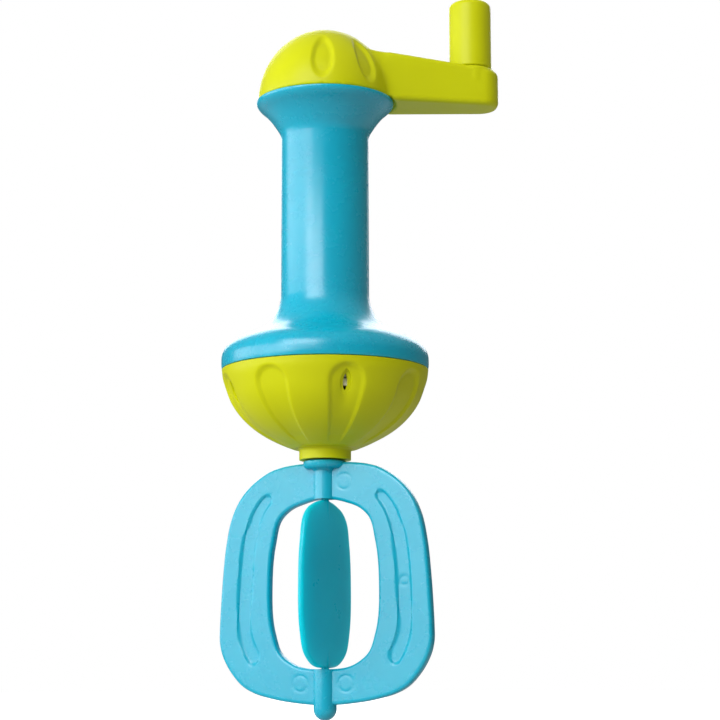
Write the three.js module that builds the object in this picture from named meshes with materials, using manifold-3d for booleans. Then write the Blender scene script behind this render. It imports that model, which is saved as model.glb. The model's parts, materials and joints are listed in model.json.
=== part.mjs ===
// A hand-cranked whisk for the bath: a crank on top of a hollow grip turns a gear train in the
// bell below it, and the train turns the whisk four times as fast, the other way.
// Millimetres, +Z up along the grip. The origin is on the axis, at the middle of the grip.
import * as THREE from 'three';
import { mergeVertices } from 'three/addons/utils/BufferGeometryUtils.js';
import Module from 'manifold-3d';

const wasm = await Module();
wasm.setup();

// ---------------------------------------------------------------- driving sizes
const GAP = 0.3; // between two pieces that touch
const ROUND = 28; // sides of the large turned pieces
const PLAY = 0.5; // between a turning piece and what it passes

const GRIP_LENGTH = 63; // straight part of the barrel
const GRIP_RADIUS = 17;
const SHELL_WALL = 2.2;
const FLARE_HEIGHT = 14.7; // from the straight part up to the lip
const LIP_RADIUS = 26.8;
const BELL_HEIGHT = 28.3; // from the straight part down to the bell's open rim
const BELL_RADIUS = 39.8;

const BOWL_DEPTH = 30.6; // below the bell's rim
const COLLAR_HEIGHT = 4.1;
const COLLAR_RADIUS = 9.9;
const FLUTE_COUNT = 8;
const FLUTE_DEPTH = 1.5;
const FLUTE_PHASE = 8; // degrees from +X to the middle of the first flute
const DRAIN_LENGTH = 11;
const DRAIN_WIDTH = 5;

const DOME_RADIUS = 26.1;
const DOME_HEIGHT = 28.4;
const DOME_FLUTES = [-94, -49, 49, 94]; // degrees from the arm
const CRANK_REACH = 57.7; // main axis to knob axis
const ARM_END = 10.7; // arm beyond the knob axis
const ARM_END_HALF_WIDTH = 9;
const ARM_CORNER_RADIUS = 5.5;
const ARM_ROOT_HALF_WIDTH = 11.7;
const ARM_ROOT_THICKNESS = 19.2;
const ARM_END_THICKNESS = 15.7;
const ARM_FILLET = 2;
const ARM_DROP = 1.1; // underside of the arm below the lip's top

const KNOB_RADIUS = 8.35;
const KNOB_HEIGHT = 27.2;
const KNOB_FILLET = 2.3;
const KNOB_POST_RADIUS = 3;

const CRANK_SHAFT_RADIUS = 4.5;
const CRANK_PIN_RADIUS = 1.25;
const POST_DEPTH = 10; // knob post let into the arm
const BUSH_WALL = 2.2;
const WEB = 3; // webs and floors that carry bushes

const GEAR_MODULE = BELL_RADIUS / 31.84;
const RING_TEETH = 48;
const IDLER_TEETH = 18;
const SUN_TEETH = 12;
const IDLER_COUNT = 3;
const IDLER_PHASE = 38; // degrees from +X to the first idler
const FACE_WIDTH = 9.5; // of the idlers and the sun pinion
const BACKLASH = 0.24;
const RING_GEAR_WALL = 2;
const IDLER_PIN_RADIUS = 2.4;
const PLATE_THICKNESS = 2.6;
const SCREW_RADIUS = 1.4;
const SCREW_CIRCLE = 0.603 * BELL_RADIUS;
const SHAFT_SCREW_LENGTH = 14;
const SHAFT_FLOOR = 1.2; // under the crank shaft, in the ring gear

const WHISK_SHAFT_RADIUS = 3.2;
const SHAFT_SOCKET = 8; // whisk shaft let into the hub and rod
const HUB_RADIUS = 8.3;
const HUB_THICKNESS = 3;
const ROD_RADIUS = 4.35;
const ROD_TIP = 5.7; // rod below the ring
const RING_HEIGHT = 91.2;
const RING_HALF_WIDTH = 43.9;
const RING_THICKNESS = 4.1;
const EDGE_RADIUS = 1.2; // rounded edges of the ring
const RING_TOP_BAND = 13.9; // ring material above the window
const WINDOW_HEIGHT = 63.9;
const WINDOW_HALF_WIDTH = 22.6;
const PADDLE_THICKNESS = 2.3;
const TENON_RADIUS = 1.5;
const TENON_LENGTH = 2.6;
const WHISK_TURN = -29; // degrees about Z from the arm to the ring's plane, at rest

// ---------------------------------------------------------------- heights worked out from them
const gripTop = GRIP_LENGTH / 2;
const gripBottom = -gripTop;
const lipTop = gripTop + FLARE_HEIGHT;
const bellRim = gripBottom - BELL_HEIGHT;
const bowlFoot = bellRim - BOWL_DEPTH;
const collarFoot = bowlFoot - COLLAR_HEIGHT;
const domeFoot = lipTop + GAP;
const armFoot = lipTop - ARM_DROP;
const armRootX = DOME_RADIUS;
const seatTop = armFoot + ARM_END_THICKNESS; // flat seat under the knob
const crankPinHeight = domeFoot + 0.3 * DOME_HEIGHT;
const socketTop = domeFoot + 0.62 * DOME_HEIGHT; // the crank shaft's socket in the dome
const knobFoot = seatTop + GAP;
const knobTop = knobFoot + KNOB_HEIGHT;
const postTop = knobTop - 8;
const postHead = KNOB_POST_RADIUS + 1.2;

const topWebTop = gripTop + 0.57 * FLARE_HEIGHT;
const lowerWebBottom = gripBottom - 0.2 * BELL_HEIGHT;
const bushOuter = CRANK_SHAFT_RADIUS + GAP + BUSH_WALL;
const bushFlange = 1.5;

const ringPitch = (GEAR_MODULE * RING_TEETH) / 2;
const idlerPitch = (GEAR_MODULE * IDLER_TEETH) / 2;
const idlerCircle = ringPitch - idlerPitch;
const ringRoot = ringPitch + 1.2 * GEAR_MODULE;
const ringOuter = ringRoot + RING_GEAR_WALL;
const plateTop = bellRim - 8;
const plateFoot = plateTop - PLATE_THICKNESS;
const gearFoot = plateTop + PLAY + 0.6;
const gearTop = gearFoot + FACE_WIDTH;
const ringWebFoot = gearTop + 3.4;
const ringWebTop = ringWebFoot + WEB;

const hubTop = collarFoot - PLAY;
const hubFoot = hubTop - HUB_THICKNESS;
const ringTop = hubTop - PLAY;
const windowTop = ringTop - RING_TOP_BAND;
const windowFoot = windowTop - WINDOW_HEIGHT;
const ringFoot = ringTop - RING_HEIGHT;
const tipFoot = ringFoot - ROD_TIP;

// ---------------------------------------------------------------- materials
const plastic = (color, roughness) => new THREE.MeshStandardMaterial({ color, roughness, metalness: 0 });
const steel = () => new THREE.MeshStandardMaterial({ color: 0xb9bcc0, roughness: 0.35, metalness: 0.9 });
const LIME = 0xc9d213;
const AQUA = 0x12b4cc;
const NYLON = 0xe9e7dc;

// ---------------------------------------------------------------- shape helpers
const degrees = (angle) => THREE.MathUtils.degToRad(angle);

// A geometry as a manifold-3d solid, its faces turned outwards.
function solid(geometry) {
  const bare = geometry.index ? geometry.toNonIndexed() : geometry.clone();
  bare.deleteAttribute('normal');
  bare.deleteAttribute('uv');
  const merged = mergeVertices(bare, 1e-4);
  const corners = merged.index.array;
  const triVerts = [];
  for (let i = 0; i < corners.length; i += 3) {
    const [a, b, c] = [corners[i], corners[i + 1], corners[i + 2]];
    if (a !== b && b !== c && c !== a) triVerts.push(a, b, c);
  }
  const vertProperties = merged.attributes.position.array;
  const make = (order) => new wasm.Manifold(new wasm.Mesh({
    numProp: 3,
    vertProperties,
    triVerts: new Uint32Array(order),
  }));
  const made = make(triVerts);
  return made.volume() > 0 ? made : make(triVerts.reverse());
}

// A solid back as a geometry.
function geometryOf(made) {
  const mesh = made.getMesh();
  const stride = mesh.numProp;
  const points = [];
  for (let i = 0; i < mesh.vertProperties.length; i += stride) {
    points.push(...mesh.vertProperties.slice(i, i + 3));
  }
  const geometry = new THREE.BufferGeometry();
  geometry.setAttribute('position', new THREE.Float32BufferAttribute(points, 3));
  geometry.setIndex(Array.from(mesh.triVerts));
  geometry.computeVertexNormals();
  return geometry;
}

// A solid turned about Z from a closed profile of [radius, height] points.
function turned(profile, segments = 32) {
  const points = profile.map(([radius, height]) => new THREE.Vector2(radius, height));
  const onAxis = profile[0][0] === 0 && profile.at(-1)[0] === 0;
  if (!onAxis) points.push(points[0].clone());
  return solid(new THREE.LatheGeometry(points, segments).rotateX(Math.PI / 2));
}

const rod = (radius, foot, top, segments = 20) =>
  turned([[0, foot], [radius, foot], [radius, top], [0, top]], segments);

const tube = (outer, inner, foot, top, segments = 24) =>
  turned([[inner, foot], [outer, foot], [outer, top], [inner, top]], segments);

// Points on a smooth curve through a few [a, b] points.
function smooth(points, count, closed = false) {
  const curve = new THREE.CatmullRomCurve3(
    points.map(([a, b]) => new THREE.Vector3(a, b, 0)), closed, 'centripetal',
  );
  return curve.getPoints(count).map((p) => [p.x, p.y]);
}

// The same curve moved sideways by a distance, towards its left.
function offset(points, distance) {
  return points.map(([a, b], i) => {
    const before = points[Math.max(i - 1, 0)];
    const after = points[Math.min(i + 1, points.length - 1)];
    const along = new THREE.Vector2(after[0] - before[0], after[1] - before[1]).normalize();
    return [a - along.y * distance, b + along.x * distance];
  });
}

const shapeOf = (points) => new THREE.Shape(points.map(([a, b]) => new THREE.Vector2(a, b)));

// A flat plate extruded upwards from foot to top.
function slab(shape, foot, top) {
  const geometry = new THREE.ExtrudeGeometry(shape, { depth: top - foot, bevelEnabled: false });
  return solid(geometry.translate(0, 0, foot));
}

// A solid moved round the Z axis by an angle in degrees, after being moved out along X.
const placed = (made, radius, angle) => made.translate([radius, 0, 0]).rotate([0, 0, angle]);

// ---------------------------------------------------------------- gears
const PRESSURE_ANGLE = degrees(20);
const involute = (angle) => Math.tan(angle) - angle;

// Half the angle that a tooth of this gear takes up at a radius.
function toothHalfAngle(teeth, radius, thinning) {
  const pitch = (GEAR_MODULE * teeth) / 2;
  const base = pitch * Math.cos(PRESSURE_ANGLE);
  const at = Math.acos(base / Math.max(radius, base));
  return Math.PI / (2 * teeth) - thinning / (2 * pitch) + involute(PRESSURE_ANGLE) - involute(at);
}

// The outline of a gear with a tooth centred on an angle in radians.
function gearOutline(teeth, radii, thinning, start) {
  const points = [];
  for (let tooth = 0; tooth < teeth; tooth += 1) {
    const middle = start + (tooth * 2 * Math.PI) / teeth;
    const flank = radii.map((radius) => [radius, toothHalfAngle(teeth, radius, thinning)]);
    const corners = [
      ...flank.map(([radius, half]) => [radius, middle - half]),
      ...flank.toReversed().map(([radius, half]) => [radius, middle + half]),
    ];
    corners.forEach(([radius, angle]) => points.push([radius * Math.cos(angle), radius * Math.sin(angle)]));
  }
  return points;
}

function spurGear(teeth, bore, start) {
  const pitch = (GEAR_MODULE * teeth) / 2;
  const radii = [pitch - 1.25 * GEAR_MODULE, pitch - 0.35 * GEAR_MODULE, pitch + 0.9 * GEAR_MODULE];
  const body = slab(shapeOf(gearOutline(teeth, radii, BACKLASH, start)), gearFoot, gearTop);
  return body.subtract(rod(bore, gearFoot - 1, gearTop + 1, 16));
}

// ---------------------------------------------------------------- the barrel
// From the bell's rim up the outside to the lip: shares of the height and of the radius.
const BELL_CURVE = [[1, 0.996], [0.903, 1], [0.755, 0.97], [0.633, 0.805], [0.561, 0.61],
  [0.428, 0.29], [0.338, 0.172], [0.24, 0.092], [0.12, 0.034], [0, 0]];
const FLARE_CURVE = [[0, 0], [0.14, 0.08], [0.39, 0.29], [0.52, 0.43], [0.7, 0.67], [0.88, 0.95]];

function barrel() {
  const bell = smooth(BELL_CURVE.map(([down, out]) => [
    GRIP_RADIUS + out * (BELL_RADIUS - GRIP_RADIUS), gripBottom - down * BELL_HEIGHT,
  ]), 12);
  const flare = smooth(FLARE_CURVE.map(([up, out]) => [
    GRIP_RADIUS + out * (LIP_RADIUS - GRIP_RADIUS), gripTop + up * FLARE_HEIGHT,
  ]), 7);
  const insideBell = offset(bell, SHELL_WALL).filter(([, height]) => height < lowerWebBottom - WEB);
  const inner = GRIP_RADIUS - SHELL_WALL;
  const bore = bushOuter + GAP;
  const mouth = LIP_RADIUS - 2 * SHELL_WALL;
  const profile = [
    ...bell,
    ...flare,
    [LIP_RADIUS, lipTop - 0.8],
    [LIP_RADIUS - 0.6, lipTop],
    [mouth + 0.6, lipTop],
    [mouth - 0.6, lipTop - 2.6],
    [mouth - 4, topWebTop],
    [bore, topWebTop],
    [bore, topWebTop - WEB],
    [inner, topWebTop - WEB],
    [inner, lowerWebBottom + WEB],
    [bore, lowerWebBottom + WEB],
    [bore, lowerWebBottom],
    [inner, lowerWebBottom],
    ...insideBell.toReversed(),
    [BELL_RADIUS - SHELL_WALL, bellRim],
  ];
  return turned(profile, ROUND);
}

// A flanged bush in a web; side is 1 with its flange above the web, -1 below it.
function bush(webTop, side) {
  const low = side > 0 ? webTop - WEB : webTop - WEB - GAP - bushFlange;
  const high = side > 0 ? webTop + GAP + bushFlange : webTop;
  const sleeve = tube(bushOuter, CRANK_SHAFT_RADIUS + GAP, low, high, 20);
  const flangeFoot = side > 0 ? webTop + GAP : low;
  return sleeve.add(tube(bushOuter + 2.2, CRANK_SHAFT_RADIUS + GAP, flangeFoot, flangeFoot + bushFlange, 20));
}

// ---------------------------------------------------------------- the bowl under the bell
// Outside of the bowl from its rim down to the collar: shares of the depth and of the radius.
const BOWL_CURVE = [[0, 0.995], [0.1, 0.985], [0.24, 0.952], [0.39, 0.908], [0.535, 0.838], [0.684, 0.73],
  [0.835, 0.57], [0.91, 0.46], [0.97, 0.345]];

function bowlOutline() {
  return smooth(BOWL_CURVE.map(([down, out]) => [BELL_RADIUS * out, bellRim - GAP - down * BOWL_DEPTH]), 10);
}

// Radius of the bowl's outside at a height.
function bowlRadius(height) {
  const points = bowlOutline();
  const below = points.findIndex(([, z]) => z <= height);
  const [r0, z0] = points[Math.max(below - 1, 0)];
  const [r1, z1] = points[Math.max(below, 1)];
  return r0 + ((r1 - r0) * (z0 - height)) / (z0 - z1);
}

const SCOOP_THICKNESS = 4.5; // half the thickness of the ellipsoid that scoops a flute

// An ellipsoid for scooping a flute, long along the shell.
function scoop(length, width, depth) {
  const ball = solid(new THREE.SphereGeometry(1, 10, 6));
  return ball.scale([depth, width / 2, length / 2]);
}

function bowl() {
  const outside = bowlOutline();
  const inside = offset(outside, -SHELL_WALL).filter(([radius]) => radius > COLLAR_RADIUS + 1);
  const spigot = BELL_RADIUS - SHELL_WALL - GAP;
  const bushBore = WHISK_SHAFT_RADIUS + GAP + BUSH_WALL + GAP;
  const shell = turned([
    ...outside,
    [COLLAR_RADIUS + 0.7, bowlFoot + 0.3],
    [COLLAR_RADIUS, bowlFoot - 0.4],
    [COLLAR_RADIUS, collarFoot + 0.8],
    [COLLAR_RADIUS - 0.8, collarFoot],
    [bushBore, collarFoot],
    [bushBore, bowlFoot + SHELL_WALL],
    ...inside.toReversed(),
    [spigot - SHELL_WALL + 0.4, bellRim - 2],
    [spigot - SHELL_WALL + 0.4, bellRim + 3],
    [spigot, bellRim + 3],
    [spigot, bellRim - GAP],
  ], ROUND);
  const screwHole = SCREW_RADIUS + GAP;
  let made = shell;
  for (let i = 0; i < IDLER_COUNT; i += 1) {
    const angle = IDLER_PHASE + (360 / IDLER_COUNT) * (i + 0.5);
    const floor = bellRim - 0.76 * BOWL_DEPTH;
    const post = tube(screwHole + 1.9, screwHole, floor, plateFoot - GAP, 14);
    const foot = rod(screwHole + 1.9, floor - 1, floor + 1, 14);
    made = made.add(placed(post.add(foot), SCREW_CIRCLE, angle));
  }
  const middle = bellRim - 0.36 * BOWL_DEPTH;
  const lean = 20; // the wall's slope there, in degrees
  for (let i = 0; i < FLUTE_COUNT; i += 1) {
    const angle = FLUTE_PHASE + (360 / FLUTE_COUNT) * i;
    const cut = scoop(0.86 * BOWL_DEPTH, 0.377 * BELL_RADIUS, SCOOP_THICKNESS).rotate([0, lean, 0]);
    const outwards = SCOOP_THICKNESS - FLUTE_DEPTH;
    made = made.subtract(placed(cut.translate([outwards, 0, middle]), bowlRadius(middle), angle));
    if (i % 2 === 0) {
      const half = DRAIN_LENGTH / 2;
      const slot = shapeOf([[-half, 0], [-half / 2, -DRAIN_WIDTH / 2], [half / 3, -DRAIN_WIDTH / 2.6],
        [half, 0], [half / 3, DRAIN_WIDTH / 2.6], [-half / 2, DRAIN_WIDTH / 2]]);
      const punch = slab(slot, -8, 8).rotate([0, 90, 0]);
      const height = bellRim - 0.27 * BOWL_DEPTH;
      made = made.subtract(placed(punch.translate([0, 0, height]), bowlRadius(height), angle));
    }
  }
  return made;
}

function neckBush() {
  const bore = WHISK_SHAFT_RADIUS + GAP;
  const outer = bore + BUSH_WALL;
  const flangeFoot = bowlFoot + SHELL_WALL + GAP;
  const sleeve = tube(outer, bore, collarFoot, flangeFoot + bushFlange, 20);
  return sleeve.add(tube(outer + 1.6, bore, flangeFoot, flangeFoot + bushFlange, 20));
}

// ---------------------------------------------------------------- the fixed gear plate
function gearPlate() {
  const edge = bowlRadius(plateTop) - SHELL_WALL - 2 * PLAY - 1.5;
  let made = tube(edge, WHISK_SHAFT_RADIUS + PLAY, plateFoot, plateTop, ROUND);
  for (let i = 0; i < IDLER_COUNT; i += 1) {
    const pinAngle = IDLER_PHASE + (360 / IDLER_COUNT) * i;
    const screwAngle = pinAngle + 180 / IDLER_COUNT;
    const pinHole = rod(IDLER_PIN_RADIUS + GAP, plateFoot - 1, plateTop + 1, 14);
    const screwHole = rod(SCREW_RADIUS + GAP, plateFoot - 1, plateTop + 1, 14);
    made = made.subtract(placed(pinHole, idlerCircle, pinAngle));
    made = made.subtract(placed(screwHole, SCREW_CIRCLE, screwAngle));
  }
  return made;
}

// A pin through the plate, with a head below it and a shoulder that keeps its gear clear of the plate.
function idlerPin() {
  const radius = IDLER_PIN_RADIUS;
  return turned([
    [0, plateFoot - GAP - 1.4], [radius + 1.3, plateFoot - GAP - 1.4], [radius + 1.3, plateFoot - GAP],
    [radius, plateFoot - GAP], [radius, gearTop + 0.8], [radius - 0.6, gearTop + 1.4], [0, gearTop + 1.4],
  ], 16);
}

function plateScrew() {
  const head = 2.7;
  const bottom = plateFoot - 9;
  return turned([
    [0, bottom - 1], [0.5, bottom - 1], [SCREW_RADIUS, bottom + 0.5], [SCREW_RADIUS, plateTop + GAP],
    [head, plateTop + GAP], [head, plateTop + GAP + 1.2], [head - 0.8, plateTop + GAP + 1.7],
    [0, plateTop + GAP + 1.7],
  ], 14);
}

// ---------------------------------------------------------------- the crank
const armThickness = (x) => {
  const share = (x - armRootX) / (CRANK_REACH - armRootX);
  return ARM_ROOT_THICKNESS + share * (ARM_END_THICKNESS - ARM_ROOT_THICKNESS);
};

// The arm's plan outline: a taper from inside the dome to an end with two round corners.
function armPlan(inset) {
  const rootHalf = ARM_ROOT_HALF_WIDTH - inset;
  const start = 0.35 * DOME_RADIUS;
  const flareHalf = rootHalf + 0.3;
  const radius = ARM_CORNER_RADIUS - inset;
  const cornerX = CRANK_REACH + ARM_END - ARM_CORNER_RADIUS;
  const cornerY = ARM_END_HALF_WIDTH - ARM_CORNER_RADIUS;
  const steps = 4;
  const corner = Array.from({ length: steps + 1 }, (_, i) => {
    const angle = (Math.PI / 2) * (i / steps);
    return [cornerX + radius * Math.cos(angle), cornerY + radius * Math.sin(angle)];
  });
  const mirrored = corner.toReversed().map(([x, y]) => [x, -y]);
  return [[start, -flareHalf], [armRootX, -rootHalf], ...mirrored,
    ...corner, [armRootX, rootHalf], [start, flareHalf]];
}

function crankArm() {
  const domeAt = (radius, height, count) => Array.from({ length: count + 1 }, (_, i) => {
    const angle = (Math.PI / 2) * (1 - i / count);
    return [i === 0 ? 0 : radius * Math.cos(angle), domeFoot + height * Math.sin(angle)];
  });
  const dome = turned([...domeAt(DOME_RADIUS, DOME_HEIGHT, 8), [0, domeFoot]], ROUND);
  const edge = 0.12; // share of the unit plate's thickness that its rounded edge takes
  const bar = new THREE.ExtrudeGeometry(shapeOf(armPlan(ARM_FILLET)), {
    depth: 1 - 2 * edge, bevelThickness: edge, bevelSize: ARM_FILLET, bevelSegments: 2,
  }).translate(0, 0, edge);
  // The plate is one unit thick: each corner is raised to the arm's own height where it stands,
  // and its rounded edges keep their size.
  const corner = bar.attributes.position;
  for (let i = 0; i < corner.count; i += 1) {
    const height = armThickness(corner.getX(i));
    const share = corner.getZ(i);
    const fromFoot = (share / edge) * ARM_FILLET;
    const fromTop = height - ((1 - share) / edge) * ARM_FILLET;
    corner.setZ(i, armFoot + (share < 0.5 ? fromFoot : fromTop));
  }
  const lipRoom = rod(LIP_RADIUS + PLAY + GAP, armFoot - 5, domeFoot, ROUND);
  const seat = tube(KNOB_RADIUS + 0.5, KNOB_POST_RADIUS, seatTop - ARM_END_THICKNESS / 2, seatTop, 24)
    .translate([CRANK_REACH, 0, 0]);
  const knobRoom = rod(KNOB_RADIUS + PLAY, seatTop, seatTop + KNOB_HEIGHT, 24).translate([CRANK_REACH, 0, 0]);
  const hollow = turned([...domeAt(DOME_RADIUS - SHELL_WALL, DOME_HEIGHT - SHELL_WALL, 6),
    [DOME_RADIUS - SHELL_WALL, domeFoot - 1], [0, domeFoot - 1]], ROUND);
  const bossFoot = topWebTop + 2 * GAP + bushFlange + PLAY;
  const boss = rod(CRANK_SHAFT_RADIUS + 3.4, bossFoot, domeFoot + DOME_HEIGHT - 0.85 * SHELL_WALL, 24);
  const socket = rod(CRANK_SHAFT_RADIUS + GAP, bossFoot - 1, socketTop, 20);
  const halfHole = CRANK_SHAFT_RADIUS + 5;
  const pinHole = rod(CRANK_PIN_RADIUS + GAP, -halfHole, halfHole, 12)
    .rotate([90, 0, 0]).translate([0, 0, crankPinHeight]);
  let made = dome.add(solid(bar)).add(seat).subtract(knobRoom).subtract(lipRoom).subtract(hollow);
  for (const angle of DOME_FLUTES) {
    const cut = scoop(0.8 * DOME_HEIGHT, 11, SCOOP_THICKNESS).rotate([0, -24, 0]);
    const at = [0.888 * DOME_RADIUS + SCOOP_THICKNESS - 1.2, 0, domeFoot + 0.46 * DOME_HEIGHT];
    made = made.subtract(cut.translate(at).rotate([0, 0, angle]));
  }
  const postHole = rod(KNOB_POST_RADIUS + GAP, seatTop - POST_DEPTH, seatTop + 1, 16);
  return made.add(boss).subtract(socket).subtract(pinHole).subtract(postHole.translate([CRANK_REACH, 0, 0]));
}

function crankShaft() {
  const top = socketTop - GAP;
  const foot = ringWebFoot + SHAFT_FLOOR + GAP;
  const whole = turned([
    [0, foot], [CRANK_SHAFT_RADIUS, foot], [CRANK_SHAFT_RADIUS, top - 0.6], [CRANK_SHAFT_RADIUS - 0.6, top],
    [0, top],
  ], 24);
  const cross = rod(CRANK_PIN_RADIUS + GAP, -10, 10, 12).rotate([90, 0, 0]).translate([0, 0, crankPinHeight]);
  return whole.subtract(cross).subtract(rod(SCREW_RADIUS + GAP, foot - 1, foot + SHAFT_SCREW_LENGTH, 14));
}

function crankPin() {
  const half = CRANK_SHAFT_RADIUS + 3.2;
  return rod(CRANK_PIN_RADIUS, -half, half, 14).rotate([90, 0, 0]).translate([0, 0, crankPinHeight]);
}

// A cup: internal teeth round a web, and a hub that stands on the shaft's end.
function ringGear() {
  const skirtFoot = gearFoot - 0.5;
  const radii = [ringPitch - 0.8 * GEAR_MODULE, ringRoot];
  const half = Math.PI / RING_TEETH; // puts an inward tooth on the first idler's angle
  const spaces = gearOutline(RING_TEETH, radii, -BACKLASH, degrees(IDLER_PHASE) + half);
  const skirt = rod(ringOuter, skirtFoot, ringWebFoot + 0.5, ROUND)
    .subtract(slab(shapeOf(spaces), skirtFoot - 1, ringWebFoot));
  const chamfer = 4;
  const web = turned([
    [0, ringWebFoot], [ringOuter, ringWebFoot], [ringOuter, ringWebTop - WEB + 0.6],
    [ringOuter - chamfer, ringWebTop], [0, ringWebTop],
  ], 36);
  const hub = rod(CRANK_SHAFT_RADIUS + 3.4, ringWebFoot, ringWebTop + 4, 24);
  const seat = rod(CRANK_SHAFT_RADIUS + GAP, ringWebFoot + SHAFT_FLOOR, ringWebTop + 10, 20);
  const hole = rod(SCREW_RADIUS + GAP, ringWebFoot - 2, ringWebTop, 14);
  return skirt.add(web).add(hub).subtract(seat).subtract(hole);
}

function ringGearScrew() {
  const head = 3.2;
  const under = ringWebFoot - GAP;
  return turned([
    [0, under - 1.6], [head - 0.7, under - 1.6], [head, under - 1], [head, under], [SCREW_RADIUS, under],
    [SCREW_RADIUS, under + SHAFT_SCREW_LENGTH - 2], [0.4, under + SHAFT_SCREW_LENGTH - 1],
    [0, under + SHAFT_SCREW_LENGTH - 1],
  ], 14);
}

function shaftWasher() {
  const top = lowerWebBottom - 2 * GAP - bushFlange;
  return tube(CRANK_SHAFT_RADIUS + 4, CRANK_SHAFT_RADIUS + GAP, top - 1, top, 20);
}

// ---------------------------------------------------------------- the knob and its post
function knobPost() {
  return turned([
    [0, seatTop - POST_DEPTH + GAP], [KNOB_POST_RADIUS, seatTop - POST_DEPTH + GAP],
    [KNOB_POST_RADIUS, postTop - 2.6], [postHead, postTop - 2], [postHead - 1, postTop], [0, postTop],
  ], 18);
}

function knob() {
  const bore = KNOB_POST_RADIUS + GAP;
  const fillet = Array.from({ length: 5 }, (_, i) => {
    const angle = (Math.PI / 2) * (i / 4);
    return [KNOB_RADIUS - KNOB_FILLET * (1 - Math.cos(angle)), knobTop - KNOB_FILLET * (1 - Math.sin(angle))];
  });
  return turned([
    [bore, knobFoot], [KNOB_RADIUS - 0.4, knobFoot], [KNOB_RADIUS, knobFoot + 0.4], ...fillet, [0, knobTop],
    [0, postTop + PLAY], [postHead + PLAY, postTop + PLAY], [postHead + PLAY, postTop - 3.2],
    [bore, postTop - 3.6],
  ], 22);
}

// ---------------------------------------------------------------- the whisk
// Half of the ring's outline and of its window: shares of the half-width and of the height, downwards.
const RING_CURVE = [[0, 0], [0.28, 0.004], [0.53, 0.027], [0.69, 0.077], [0.89, 0.225], [0.957, 0.45],
  [1, 0.723], [0.916, 0.845], [0.705, 0.944], [0.33, 0.992], [0, 1]];
const WINDOW_CURVE = [[0, 0], [0.4, 0.025], [0.66, 0.062], [0.81, 0.11], [0.935, 0.255], [1, 0.5],
  [0.93, 0.795], [0.81, 0.905], [0.56, 0.972], [0, 1]];

// The closed outline about the middle line, counterclockwise, from one half of it.
function outline(half, halfWidth, top, height, count) {
  const right = half.map(([out, down]) => [out * halfWidth, top - down * height]);
  const left = right.slice(1, -1).toReversed().map(([x, z]) => [-x, z]);
  return smooth([...right, ...left].toReversed(), count, true).slice(0, -1);
}

function whiskFrame() {
  const shape = shapeOf(outline(RING_CURVE, RING_HALF_WIDTH, ringTop, RING_HEIGHT, 40));
  const window = outline(WINDOW_CURVE, WINDOW_HALF_WIDTH, windowTop, WINDOW_HEIGHT, 30);
  shape.holes.push(new THREE.Path(window.map(([x, z]) => new THREE.Vector2(x, z))));
  const plate = new THREE.ExtrudeGeometry(shape, {
    depth: RING_THICKNESS - 2 * EDGE_RADIUS,
    bevelThickness: EDGE_RADIUS,
    bevelSize: EDGE_RADIUS,
    bevelOffset: -EDGE_RADIUS,
    bevelSegments: 1,
  });
  plate.translate(0, 0, EDGE_RADIUS - RING_THICKNESS / 2).rotateX(Math.PI / 2);
  const hub = turned([
    [0, hubFoot], [HUB_RADIUS - 1.2, hubFoot], [HUB_RADIUS, hubFoot + 0.8], [HUB_RADIUS, hubTop], [0, hubTop],
  ], 28);
  const upperRod = rod(ROD_RADIUS, windowTop, hubFoot + 1);
  const tip = Array.from({ length: 5 }, (_, i) => {
    const angle = (Math.PI / 2) * (i / 4);
    return [i === 0 ? 0 : ROD_RADIUS * Math.sin(angle), tipFoot + ROD_RADIUS * (1 - Math.cos(angle))];
  });
  const lowerRod = turned([...tip, [ROD_RADIUS, windowFoot], [0, windowFoot]], 20);
  const shaftHole = rod(WHISK_SHAFT_RADIUS + GAP, hubTop - SHAFT_SOCKET, hubTop + 1, 16);
  const upperSocket = rod(TENON_RADIUS + GAP, windowTop - 1, windowTop + TENON_LENGTH + GAP, 12);
  const lowerSocket = rod(TENON_RADIUS + GAP, windowFoot - TENON_LENGTH - GAP, windowFoot + 1, 12);
  return solid(plate).add(hub).add(upperRod).add(lowerRod)
    .subtract(shaftHole).subtract(upperSocket).subtract(lowerSocket);
}

// The window's own outline, turned a quarter turn, with a tenon at each end.
function whiskPaddle() {
  const window = outline(WINDOW_CURVE, WINDOW_HALF_WIDTH, windowTop - GAP, WINDOW_HEIGHT - 2 * GAP, 30);
  const edge = 0.7;
  const plate = new THREE.ExtrudeGeometry(shapeOf(window), {
    depth: PADDLE_THICKNESS - 2 * edge,
    bevelThickness: edge,
    bevelSize: edge,
    bevelOffset: -edge,
    bevelSegments: 1,
  });
  plate.translate(0, 0, edge - PADDLE_THICKNESS / 2).rotateX(Math.PI / 2).rotateZ(Math.PI / 2);
  const foot = windowFoot - TENON_LENGTH;
  return solid(plate).add(rod(TENON_RADIUS, windowTop - 6, windowTop + TENON_LENGTH, 12))
    .add(rod(TENON_RADIUS, foot, windowFoot + 6, 12));
}

function whiskShaft() {
  const top = gearTop + 0.8;
  const foot = hubTop - SHAFT_SOCKET + GAP;
  return turned([
    [0, foot], [WHISK_SHAFT_RADIUS, foot], [WHISK_SHAFT_RADIUS, top - 0.5], [WHISK_SHAFT_RADIUS - 0.5, top],
    [0, top],
  ], 18);
}

function whiskClip() {
  const foot = bowlFoot + SHELL_WALL + 2 * GAP + bushFlange + PLAY;
  return tube(WHISK_SHAFT_RADIUS + 2.6, WHISK_SHAFT_RADIUS + GAP, foot, foot + 1.2, 18);
}

// ---------------------------------------------------------------- the whole object
const object = new THREE.Group();

function piece(parent, name, made, material) {
  const mesh = new THREE.Mesh(geometryOf(made), material);
  mesh.name = name;
  parent.add(mesh);
  return mesh;
}

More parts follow.
